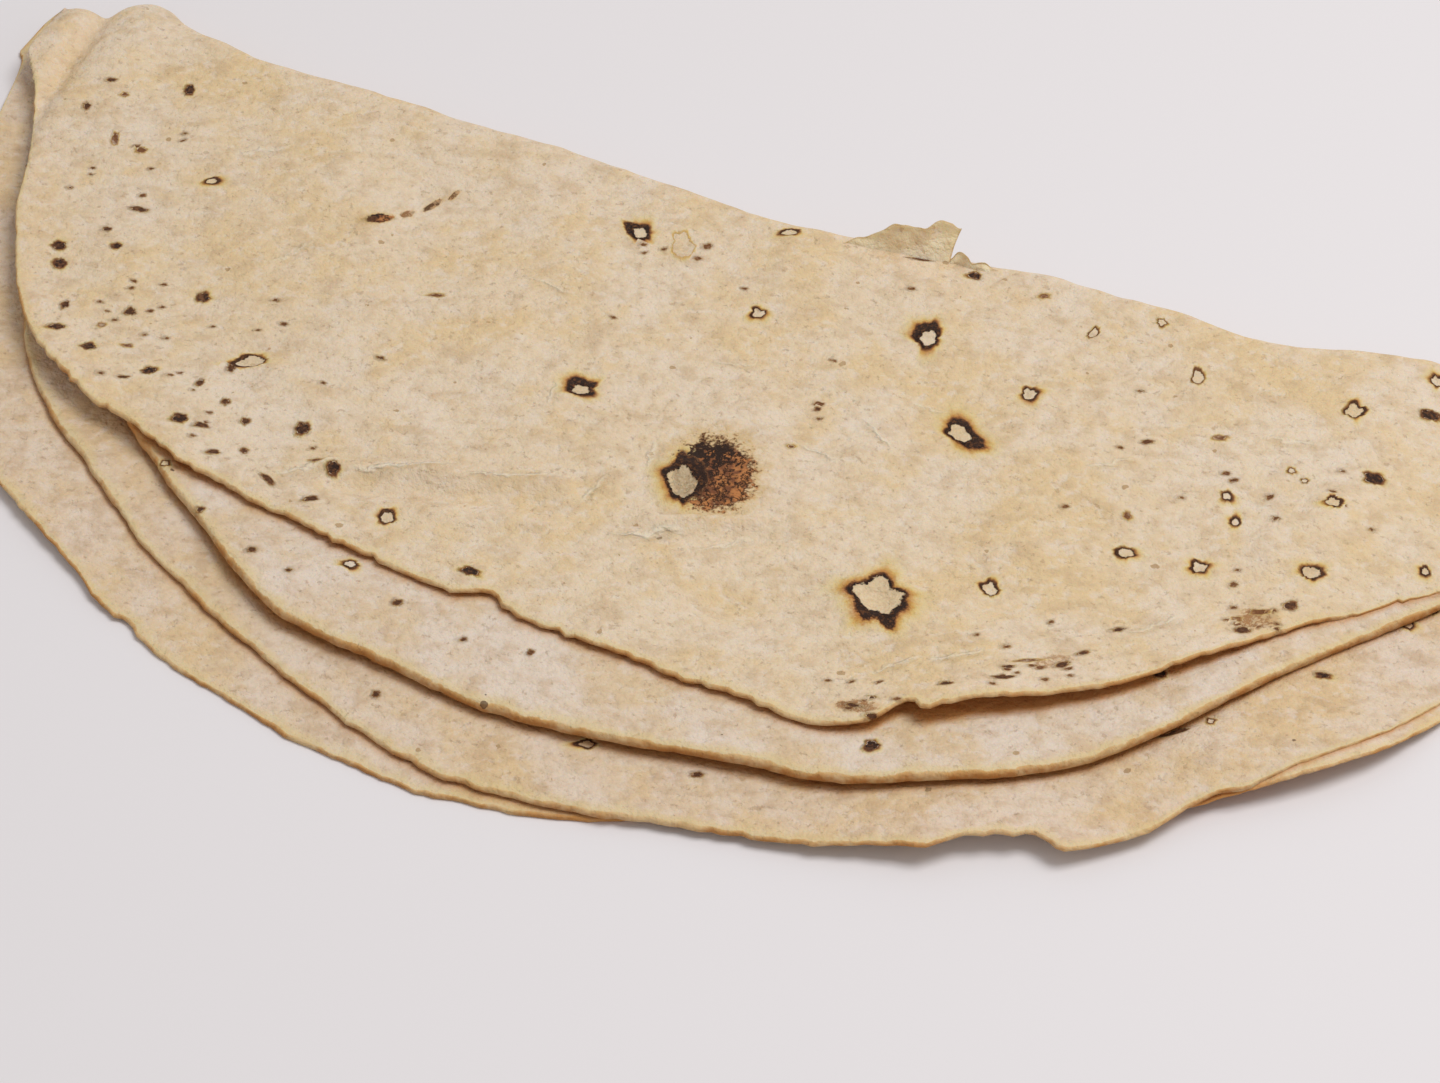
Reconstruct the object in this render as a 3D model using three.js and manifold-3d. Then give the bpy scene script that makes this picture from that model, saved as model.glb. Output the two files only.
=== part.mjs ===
import * as THREE from 'three';
import { mergeVertices } from 'three/addons/utils/BufferGeometryUtils.js';
import Module from 'manifold-3d';

// A thin pocket pita, folded in half and lying flat. It is one piece of bread with two skins, which have
// come apart along the front and are still joined along their rim at the right-hand end.
// Millimetres, +Z up. The fold runs along X at the back, the open rims point to -Y, the table is Z = 0.

// Sizes that can be set by themselves
const outerLeft = 141;        // from the middle of the fold to its left end, outer skin
const outerRight = 146;       // the same to its right end
const leftSlide = 17.5;       // how far the inner skin's left end has slid inwards
const rightSlide = 1.5;
const outerUpperDepth = 109;  // from the fold to the front rim, upper half of the outer skin
const outerLowerDepth = 135;
const upperReveal = 12;       // how far the inner skin shows in front of the outer one, upper half
const lowerReveal = 2;        // how far the outer skin shows in front of the inner one, lower half
const skinThickness = 1.2;
const skinGap = 0.8;          // clear height between the two skins
const pocketGap = 1.6;        // clear height between the two folded halves
const foldBow = 12.5;         // how far the ends of the fold curve back
const seamStart = 0.68;       // where the joined rim begins, as a share of the right-hand length
const seamEnd = 0.8;
const seamBite = 0.6;         // how deep the joined skins sink into each other
const flakeWidth = 15;        // the torn flake that stands up on the fold
const flakeHeight = 6;
const flakeThickness = 0.9;
const flakeRoot = 1;          // how deep the flake is rooted in the skin
const flakeAt = 22;           // place of the flake along the fold
const innerLeft = outerLeft - leftSlide;
const innerRight = outerRight - rightSlide;
const innerUpperDepth = outerUpperDepth + upperReveal;
const innerLowerDepth = outerLowerDepth - lowerReveal;

// How far the fold strays back from its even curve, at even steps from left to right
const foldStray = [-0.4, 1.5, 1.3, 2, 1.3, 1.8, 0.6, -0.4, 1.5, 1.4, 0.1, -1.1, 0, 0.4, 0];

// How far each rim reaches, as a share of a half ellipse, at even steps round it from left to right
const outerUpperRim = [
  0.9, 0.55, 0.47, 0.76, 0.95, 1, 0.975, 0.955, 0.935, 0.92,
  0.985, 1.06, 0.985, 0.93, 0.85, 0.86, 0.9, 0.92, 0.92,
];
const innerUpperRim = [
  0.5, 0.45, 0.5, 0.62, 0.8, 0.945, 0.967, 1.015, 0.983, 0.98,
  1, 1.025, 1.005, 0.965, 0.83, 0.8, 0.8, 0.82, 0.82,
];
const innerLowerRim = [
  0.5, 0.45, 0.6, 0.8, 0.906, 0.92, 0.947, 0.965, 0.972, 0.98,
  0.99, 1.008, 1.03, 1.093, 1.09, 1.14, 1.15, 1.15, 1.1,
];
const outerLowerRim = [
  0.9, 0.4, 0.62, 0.82, 0.95, 0.99, 1, 1.003, 0.993, 0.977,
  0.965, 0.94, 0.945, 1.01, 1.08, 1.165, 1.17, 1.15, 1.1,
];

// Bites torn out of the rims: place along the fold as a share of the right-hand length, half width, depth
const outerUpperTears = [{ along: 0.41, width: 7, bite: 3 }];
const innerLowerTears = [{ along: 0.55, width: 9, bite: 4 }];
const outerLowerTears = [{ along: -0.35, width: 7, bite: 2.5 }];
const noTears = [];

// Soft swells of the bread: place along the fold and in front of it as shares of the outer skin's
// right-hand length and lower depth, height in millimetres, and the share of the length that each spreads
const tableSwells = [
  { along: -0.62, front: 0.88, height: 2.4, spread: 0.2 },
  { along: 0.55, front: 0.92, height: 3, spread: 0.16 },
  { along: 0.84, front: 0.66, height: 4.2, spread: 0.16 },
];
const skinSwells = [
  { along: 0.47, front: 0.74, height: 2.4, spread: 0.15 },
  { along: -0.45, front: 0.66, height: 1, spread: 0.16 },
];
const pocketSwells = [
  { along: 0.3, front: 0.86, height: 1.2, spread: 0.2 },
  { along: -0.3, front: 0.84, height: 1.4, spread: 0.14 },
];
const swellFloor = 0.08;      // a swell lower than this share of its height is flat

// Fineness of the faceted skins
const columns = 56;
const flatRows = 8;
const bendRows = 6;
const endAngle = 0.11;        // the rim stops this short of the fold's end, in radians, so the end is blunt

const wasm = await Module();
wasm.setup();

function smoothStep(low, high, value) {
  const t = Math.min(1, Math.max(0, (value - low) / (high - low)));
  return t * t * (3 - 2 * t);
}

const strayCurve = new THREE.SplineCurve(foldStray.map((stray, step) => new THREE.Vector2(step, stray)));

function foldY(x) {
  const share = Math.min(1, Math.max(0, (x + outerLeft) / (outerLeft + outerRight)));
  return foldBow * (x / outerRight) ** 2 + strayCurve.getPoint(share).y;
}

function swell(list, x, y) {
  let total = 0;
  for (const { along, front, height, spread } of list) {
    const dx = (x - along * outerRight) / (spread * outerRight);
    const dy = (y + front * outerLowerDepth) / (spread * outerRight);
    const share = Math.exp(-dx * dx - dy * dy);
    total += height * Math.max(0, share - swellFloor);
  }
  return total;
}

// Middle height of a layer: 0 outer lower, 1 inner lower, 2 inner upper, 3 outer upper
function layerHeight(layer, x, y) {
  const joined = smoothStep(seamStart * outerRight, seamEnd * outerRight, x);
  const apart = skinGap * (1 - joined) - seamBite * joined;
  let height = skinThickness / 2 + swell(tableSwells, x, y);
  if (layer > 0) height += skinThickness + apart;
  if (layer > 1) height += skinThickness + pocketGap + swell(pocketSwells, x, y);
  if (layer > 2) height += skinThickness + apart + swell(skinSwells, x, y) * (1 - joined);
  return height;
}

// A rim's reach from the fold, at an angle that runs from the left end, 0, to the right end, pi
function makeRim(shares, depth, tears) {
  const curve = new THREE.SplineCurve(shares.map((share, step) => new THREE.Vector2(step, share)));
  return (angle, x) => {
    let reach = depth * Math.sin(angle) * curve.getPoint(angle / Math.PI).y;
    for (const { along, width, bite } of tears) {
      const off = Math.abs(x - along * outerRight) / width;
      if (off < 1) reach -= bite * Math.cos((off * Math.PI) / 2);
    }
    return reach;
  };
}

// One skin: a slab bent round the fold. Across runs from the upper rim, round the fold, to the lower rim.
function makeSkin({ left, right, upperRim, lowerRim, upperLayer, lowerLayer }) {
  const rows = 2 * flatRows + bendRows;
  const slab = new THREE.BoxGeometry(1, 1, 1, columns, rows, 1);
  const position = slab.attributes.position;
  const middle = (right - left) / 2;
  const half = (right + left) / 2;
  for (let i = 0; i < position.count; i += 1) {
    const angle = endAngle + (position.getX(i) + 0.5) * (Math.PI - 2 * endAngle);
    const row = Math.round((position.getY(i) + 0.5) * rows);
    const out = position.getZ(i) * skinThickness;
    const x = middle - half * Math.cos(angle);
    const back = foldY(x);
    if (row < flatRows) {
      const share = 1 - row / flatRows;
      const y = back - share * upperRim(angle, x);
      position.setXYZ(i, x, y, layerHeight(upperLayer, x, y) + out);
    } else if (row > flatRows + bendRows) {
      const share = (row - flatRows - bendRows) / flatRows;
      const y = back - share * lowerRim(angle, x);
      position.setXYZ(i, x, y, layerHeight(lowerLayer, x, y) - out);
    } else {
      const turn = ((row - flatRows) / bendRows) * Math.PI;
      const top = layerHeight(upperLayer, x, back);
      const bottom = layerHeight(lowerLayer, x, back);
      const radius = (top - bottom) / 2 + out;
      position.setXYZ(i, x, back + radius * Math.sin(turn), (top + bottom) / 2 + radius * Math.cos(turn));
    }
  }
  return slab;
}

// The torn flake: a small plate, rooted in the top of the fold and leaning back, with a ragged upper edge
function makeFlake() {
  const plate = new THREE.BoxGeometry(flakeWidth, flakeThickness, flakeHeight + flakeRoot, 8, 1, 3);
  const position = plate.attributes.position;
  const root = layerHeight(3, flakeAt, foldY(flakeAt)) + skinThickness / 2 - flakeRoot;
  for (let i = 0; i < position.count; i += 1) {
    const along = position.getX(i) / flakeWidth;
    const up = position.getZ(i) / (flakeHeight + flakeRoot) + 0.5;
    const ragged = 0.78 + 0.3 * along + 0.08 * Math.sin(along * 17);
    const lean = 0.35 * flakeHeight * up * up;
    position.setXYZ(
      i,
      flakeAt + position.getX(i),
      foldY(flakeAt) + position.getY(i) + lean,
      root + up * ragged * (flakeHeight + flakeRoot),
    );
  }
  return plate;
}

function toSolid(geometry) {
  geometry.deleteAttribute('normal');
  geometry.deleteAttribute('uv');
  const merged = mergeVertices(geometry, 1e-4);
  const mesh = new wasm.Mesh({
    numProp: 3,
    vertProperties: new Float32Array(merged.attributes.position.array),
    triVerts: new Uint32Array(merged.index.array),
  });
  return new wasm.Manifold(mesh);
}

function toGeometry(solid) {
  const mesh = solid.getMesh();
  const geometry = new THREE.BufferGeometry();
  geometry.setAttribute('position', new THREE.BufferAttribute(mesh.vertProperties, 3));
  geometry.setIndex(new THREE.BufferAttribute(mesh.triVerts, 1));
  return geometry;
}

// The facets of the two skins can shut in slivers of air where the rims join; the bread is solid there
function fillSlivers(solid) {
  const shells = solid.decompose();
  return wasm.Manifold.compose(shells.filter((shell) => shell.volume() > 0));
}

// The whole bread, moved so that its origin is at the middle of its underside
function makeBread() {
  const outerSkin = makeSkin({
    left: outerLeft,
    right: outerRight,
    upperRim: makeRim(outerUpperRim, outerUpperDepth, outerUpperTears),
    lowerRim: makeRim(outerLowerRim, outerLowerDepth, outerLowerTears),
    upperLayer: 3,
    lowerLayer: 0,
  });
  const innerSkin = makeSkin({
    left: innerLeft,
    right: innerRight,
    upperRim: makeRim(innerUpperRim, innerUpperDepth, noTears),
    lowerRim: makeRim(innerLowerRim, innerLowerDepth, innerLowerTears),
    upperLayer: 2,
    lowerLayer: 1,
  });
  const bread = toSolid(outerSkin).add(toSolid(innerSkin)).add(toSolid(makeFlake()));
  const geometry = toGeometry(fillSlivers(bread));
  geometry.computeBoundingBox();
  const { min, max } = geometry.boundingBox;
  geometry.translate(-(min.x + max.x) / 2, -(min.y + max.y) / 2, -min.z);
  geometry.computeVertexNormals();
  return geometry;
}

const breadMaterial = new THREE.MeshStandardMaterial({ color: 0xd9c6a2, roughness: 0.9, metalness: 0 });
const breadMesh = new THREE.Mesh(makeBread(), breadMaterial);
breadMesh.name = 'pita_bread';

const pita = new THREE.Group();
pita.add(breadMesh);

export default pita;
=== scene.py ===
import math
import bpy
import numpy as np
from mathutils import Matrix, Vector


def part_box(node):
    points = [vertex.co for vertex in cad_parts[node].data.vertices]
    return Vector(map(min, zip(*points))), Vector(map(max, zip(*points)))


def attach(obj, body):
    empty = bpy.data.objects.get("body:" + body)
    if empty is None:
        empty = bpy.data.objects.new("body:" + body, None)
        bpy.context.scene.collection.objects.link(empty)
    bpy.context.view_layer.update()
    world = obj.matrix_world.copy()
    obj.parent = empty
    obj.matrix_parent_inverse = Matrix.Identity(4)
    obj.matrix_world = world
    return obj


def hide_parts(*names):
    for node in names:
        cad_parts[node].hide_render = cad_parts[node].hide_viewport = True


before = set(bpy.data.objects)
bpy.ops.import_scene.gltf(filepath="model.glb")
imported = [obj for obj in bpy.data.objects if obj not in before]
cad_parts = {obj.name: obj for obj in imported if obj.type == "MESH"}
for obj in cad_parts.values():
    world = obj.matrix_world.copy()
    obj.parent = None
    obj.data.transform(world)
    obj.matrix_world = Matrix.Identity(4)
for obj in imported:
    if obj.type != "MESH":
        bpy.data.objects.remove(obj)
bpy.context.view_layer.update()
millimetre = 0.001
boxLow, boxHigh = (np.array(corner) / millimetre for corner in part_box("pita_bread"))
print("frame loaded")


# small helpers: smooth steps, curves and gentle unevenness

def smoothStep(low, high, value):
    share = np.clip((value - low) / (high - low), 0, 1)
    return share * share * (3 - 2 * share)


def curveThrough(values, place):
    padded = np.array([values[0], *values, values[-1]])
    first = np.clip(np.floor(place).astype(int), 0, len(values) - 2)
    t = place - first
    before, start, end, after = (padded[first + step] for step in range(4))
    bend = 2 * before - 5 * start + 4 * end - after
    twist = 3 * start - before - 3 * end + after
    return 0.5 * (2 * start + (end - before) * t + bend * t ** 2 + twist * t ** 3)


def unevenness(x, y, seed, size, count=14):
    rng = np.random.default_rng(seed)
    total = 0 * x + 0 * y
    for _ in range(count):
        heading, phase = rng.uniform(0, 2 * math.pi, 2)
        length = size * rng.uniform(0.7, 1.6)
        across = x * math.cos(heading) + y * math.sin(heading)
        total = total + np.sin(across * 2 * math.pi / length + phase)
    return total / math.sqrt(count)


# the form of the folded bread, in millimetres

form = {
    "skinThickness": 0.75,
    "skinGap": 0.3,            # clear height between the two skins
    "pocketGap": 0.8,          # clear height between the folded halves
    "foldMiddle": 59.4,        # the middle of the fold, before the bread is moved to the back of its box
    "foldInset": 15.2,         # from the back of the box to the middle of the fold
    "foldBow": 12.5,           # how far the fold's ends curve back
    "bowMiddle": -2.5,         # where that curve is furthest to the front
    "bowReach": 146,           # and how far from there it has gone back by foldBow
    "endAngle": 0.11,          # the rims stop this short of the fold's ends, in radians
    "innerEnds": (-126, 142),  # the inner skin's ends along the fold
    "seam": (98, 114),         # the skins become joined over this stretch
    "seamBite": 0.5,
    "endSlant": 4.8,           # the top of the left end lies this far inside its underside
    "frontLift": 0.5,          # how far the upper inner rim stands up
    "topLift": 0.15,           # the same for the top rim
}
halfLength = (boxHigh[0] - boxLow[0]) / 2 / math.cos(form["endAngle"])
moveBack = boxHigh[1] - form["foldInset"] - form["foldMiddle"]
foldCorner = (-125, 6, 3.6)  # the fold juts back near its left end: where, how wide and how far
# how far the fold strays back from its even curve, in steps of 20 mm from x = -140
rippleStart, rippleStep = -140, 20
foldRipple = [-5, 1.6, 0.2, 1.8, 1.9, 2.3, 0.8, -1.2, 0.4, 1.7, 0, -3, 0.4, 0.3, 0]

# depth of each half, how rough its rim is, how far it turns down over how wide a stretch, bites torn out
# of it as (x, half width, depth), and its reach as a share of a half ellipse at even steps from the left
rims = {
    "outerUpper": {
        "depth": 109, "seed": 3, "ragged": 0.28, "curl": (0.3, 0.4), "tears": [(-9, 4, 2.4), (57, 3, 3.2)],
        "shares": [0.9, 0.55, 0.48, 0.785, 0.965, 1, 0.975, 0.955, 0.935, 0.92,
                   0.978, 1.05, 0.973, 0.918, 0.838, 0.85, 0.9, 0.92, 0.92]},
    "innerUpper": {
        "depth": 121, "seed": 5, "ragged": 0.1, "curl": (0.9, 0.5), "tears": [],
        "shares": [0.5, 0.58, 0.68, 0.81, 0.89, 0.945, 0.967, 1.015, 0.983, 0.98,
                   0.995, 1.02, 0.995, 0.955, 0.83, 0.8, 0.8, 0.82, 0.82]},
    "innerLower": {
        "depth": 133, "seed": 7, "ragged": 0.16, "curl": (0.7, 0.6),
        "tears": [(74, 5, 3.5), (81, 5.5, 4.2), (101, 5, 2.5)],
        "shares": [0.5, 0.66, 0.92, 1.02, 1, 0.972, 0.97, 0.976, 0.984, 0.992,
                   1.002, 1.02, 1.04, 1.1, 1.11, 1.165, 1.17, 1.15, 1.1]},
    "outerLower": {
        "depth": 135, "seed": 11, "ragged": 0.16, "curl": (0.2, 1.5), "tears": [(-57, 2.5, 0.9)],
        "shares": [0.9, 0.4, 0.7, 0.905, 0.995, 1.015, 1.008, 1.016, 1.01, 0.995,
                   0.99, 0.945, 0.95, 1.03, 1.12, 1.215, 1.21, 1.17, 1.1]},
}

# soft swells as (x, y, height, spread); one lower than swellFloor of its height is flat
swellFloor = 0.08
tableSwells = [(-93, -59, 2.4, 29), (78, -65, 3.0, 23), (120, -30, 4.2, 23)]
skinSwells = [(68, -37, 3.1, 17), (92, -20, 1.3, 15), (-68, -30, 0.6, 20)]
pocketSwells = [(41, -57, 0.8, 26), (-46, -54, 0.9, 20)]

# the furrow beside the tongue at the left end; it leans with the distance from the given y
leftFurrow = {"x": -130.8, "y": 60, "lean": 0.12, "width": 2.4, "depth": 1.7}

# creases and dents of the top as (x1, y1, x2, y2, width, height)
topCreases = [
    (-122, 66, -121, 56, 6, 1.1), (-138, 70, -134, 52, 2.5, 0.5), (-44, -22.5, -26, -18, 1.5, 1.0),
    (-28, -18.5, -8, -13, 1.4, 1.0), (-40, -26.5, -10, -17.5, 2, -0.8), (-34, -29, -8, -22, 1.8, 0.6),
    (-60, -6, -46, -13, 2, 0.5), (7, -15.5, 22, -9, 0.9, 1.2), (9, -18, 24, -12, 1.8, -0.6),
    (24, -28, 34, -24, 5, -0.7), (58, -1, 70, 5, 0.8, 0.3), (94, 16, 101, 30, 5, 0.6),
    (-98, -18, -40, -14, 5, 0.35), (-66, 52, -52, 34, 5, -0.4), (42, -31, 52, -34, 3.5, -0.5),
    (-4, 8, 4, -10, 3.5, -0.35), (30, 12, 60, 22, 6, 0.35),
]


def foldLine(x):
    place = np.clip((x - rippleStart) / rippleStep, 0, len(foldRipple) - 1)
    rough = 0.12 * unevenness(x, 0 * x, 61, 9) + 0.1 * unevenness(x, 0 * x, 62, 3.6)
    at, width, jut = foldCorner
    rough = rough + jut * np.exp(-((x - at) / width) ** 2)
    bow = form["foldBow"] * ((x - form["bowMiddle"]) / form["bowReach"]) ** 2
    return form["foldMiddle"] + bow + curveThrough(foldRipple, place) + rough


def rimReach(rim, angle, x):
    shares = rim["shares"]
    reach = rim["depth"] * np.sin(angle) * curveThrough(shares, angle / math.pi * (len(shares) - 1))
    along = angle * 125  # about the length along the rim
    rough = unevenness(along, 0 * along, rim["seed"], 11)
    rough = rough + 0.8 * unevenness(along, 0 * along, rim["seed"] + 1, 2)
    reach = reach + rim["ragged"] * rough
    for at, width, bite in rim["tears"]:
        off = np.clip(np.abs(x - at) / width, 0, 1)
        reach = reach - bite * np.cos(off * math.pi / 2)
    return reach


def skinLine(left, right, columns):
    angle = np.linspace(form["endAngle"], math.pi - form["endAngle"], columns + 1)
    return angle, (left + right) / 2 - (right - left) / 2 * np.cos(angle)


fineAngle, fineX = skinLine(-halfLength, halfLength, 800)
innerAngle, innerX = skinLine(*form["innerEnds"], 800)
topReach = rimReach(rims["outerUpper"], fineAngle, fineX)
secondReach = rimReach(rims["innerUpper"], innerAngle, innerX)
thirdReach = rimReach(rims["innerLower"], innerAngle, innerX)


def swell(places, x, y):
    total = 0
    for alongX, alongY, height, spread in places:
        share = np.exp(-((x - alongX) / spread) ** 2 - ((y - alongY) / spread) ** 2)
        total = total + height * np.maximum(0, share - swellFloor)
    return total


def creases(places, x, y):
    total = 0
    for x1, y1, x2, y2, width, height in places:
        length = math.hypot(x2 - x1, y2 - y1)
        along = np.clip(((x - x1) * (x2 - x1) + (y - y1) * (y2 - y1)) / length ** 2, 0, 1)
        gap = np.hypot(x - x1 - along * (x2 - x1), y - y1 - along * (y2 - y1))
        total = total + height * np.exp(-(gap / width) ** 2)
    return total


def stack(layer, x, y):
    # middle height of a layer: 0 outer lower, 1 inner lower, 2 inner upper, 3 outer upper
    apart = 1 - smoothStep(*form["seam"], x)
    thick = form["skinThickness"]
    between = form["skinGap"] * apart - form["seamBite"] * (1 - apart)
    height = thick / 2 + swell(tableSwells, x, y)
    if layer > 0:
        height = height + thick + between + 0.15 * (1 + np.tanh(unevenness(x, y, 23, 45))) * apart
    if layer > 1:
        front = foldLine(x) - y - np.interp(x, innerX, secondReach)
        height = height + thick + form["pocketGap"] + swell(pocketSwells, x, y)
        height = height + 0.3 * (1 + np.tanh(unevenness(x, y, 21, 55)))
        height = height + form["frontLift"] * smoothStep(-26, -7, front) * apart
    if layer > 2:
        front = foldLine(x) - y - np.interp(x, fineX, topReach)
        loose = swell(skinSwells, x, y) + 0.2 * (1 + np.tanh(unevenness(x, y, 24, 32)))
        height = height + thick + between + (loose + form["topLift"] * smoothStep(-14, -3, front)) * apart
        middle = leftFurrow["x"] + leftFurrow["lean"] * (leftFurrow["y"] - y)
        height = height - leftFurrow["depth"] * np.exp(-((x - middle) / leftFurrow["width"]) ** 2)
        height = height + creases(topCreases, x, y) * smoothStep(-2, 2, foldLine(x) - y)
        height = height + 0.16 * unevenness(x, y, 31, 17) + 0.06 * unevenness(x, y, 32, 7)
    return height


def curled(layer, x, y, way, curl):
    height = stack(layer, x, y)
    below = stack(layer - 1, x, y) if layer else -form["skinThickness"] / 2
    drop, width = curl
    room = np.clip(height - below - form["skinThickness"] - 0.12, 0, drop)
    turned = 1 - np.clip(way / width, 0, 1)
    return height - room * (1 - np.sqrt(1 - turned ** 2))


# fine creases of the top crust: x, y, half length, half width, turn and height
fineCreases = [
    (7.5, -17.5, 6.5, 0.7, 3, 1), (-4, -12, 4.5, 0.6, 55, 0.7), (19, -15, 5, 0.7, 22, 0.6),
    (-33, -19.5, 9, 0.8, 6, 1), (-17, -14.5, 8, 0.7, 2, 0.9), (-46, -24, 7, 0.9, 12, 0.8),
    (24, 9, 4, 0.6, -35, 0.6), (31, 17, 5, 0.6, -60, 0.7), (36, 26, 4, 0.5, -20, 0.5),
    (-19, 6, 3.5, 0.5, 70, 0.6), (1, -1, 4, 0.6, 80, 0.7), (60, -26, 6, 0.8, 14, 0.8),
    (52, -31, 5, 0.6, 25, 0.7), (84, -8, 6, 0.8, 20, 0.6), (-72, 22, 5, 0.7, 40, 0.5),
    (-88, 44, 6, 0.8, 15, 0.6), (-30, 30, 6, 0.7, -25, 0.5), (66, 24, 5, 0.6, 20, 0.6),
    (90, 40, 5, 0.6, -10, 0.6), (4, 24, 5, 0.6, -15, 0.5),
]

# scorched blisters of the top, and of the strips that show below it

# kind of mark: 0 a burst ring, 1 a spot; how black it is; how wide its halo is
markKinds = {
    "burst": (0, 2.2, 1.5), "star": (0, 1.2, 1.8), "ring": (0, 0.8, 1.1), "fineRing": (0, 0.5, 0.5),
    "ghost": (0, 0.1, 0.3), "spot": (1, 1, 0.7), "smudge": (1, 0.45, 0.5), "fleck": (1, 0.78, 0.3),
    "speck": (1, 0.6, 0.15),
}
ringHollow = 0.8  # the hollow of a ring or fine ring is this share of its size
viewTurn = 23  # the marks are wider across the front than along it

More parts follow.
